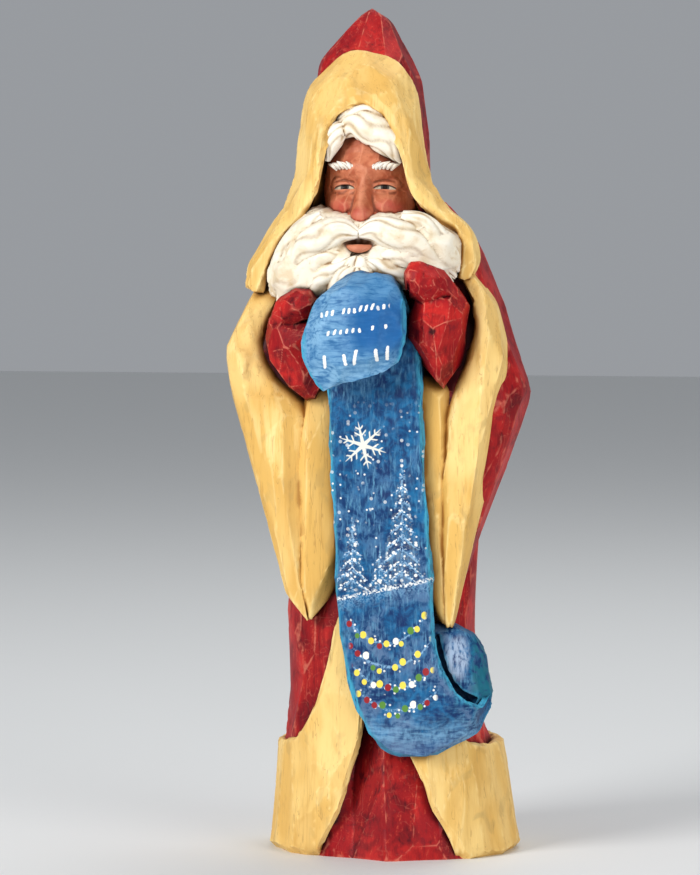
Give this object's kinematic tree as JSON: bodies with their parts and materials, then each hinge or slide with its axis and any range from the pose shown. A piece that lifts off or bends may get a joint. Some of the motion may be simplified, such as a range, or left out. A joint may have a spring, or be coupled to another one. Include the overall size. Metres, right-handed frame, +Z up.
{
  "type": "carved wooden santa figurine",
  "caption": "Whittled and painted basswood santa in a hooded cloak, standing on its flat foot and holding a long scroll that curls at its lower end.",
  "frame": {"origin": "middle of the flat underside", "axes": "+Z up through the figure, -Y towards its front, +X to the viewer's right"},
  "size_m": [0.0876, 0.0791, 0.254],
  "materials": {
    "painted_basswood": "thin matt paint in red, cream, white, flesh and blue over knife cuts, under a brown glaze, with a low sheen"
  },
  "bodies": {
    "root": {"santa_carving": "painted_basswood"}
  },
  "joints": []
}
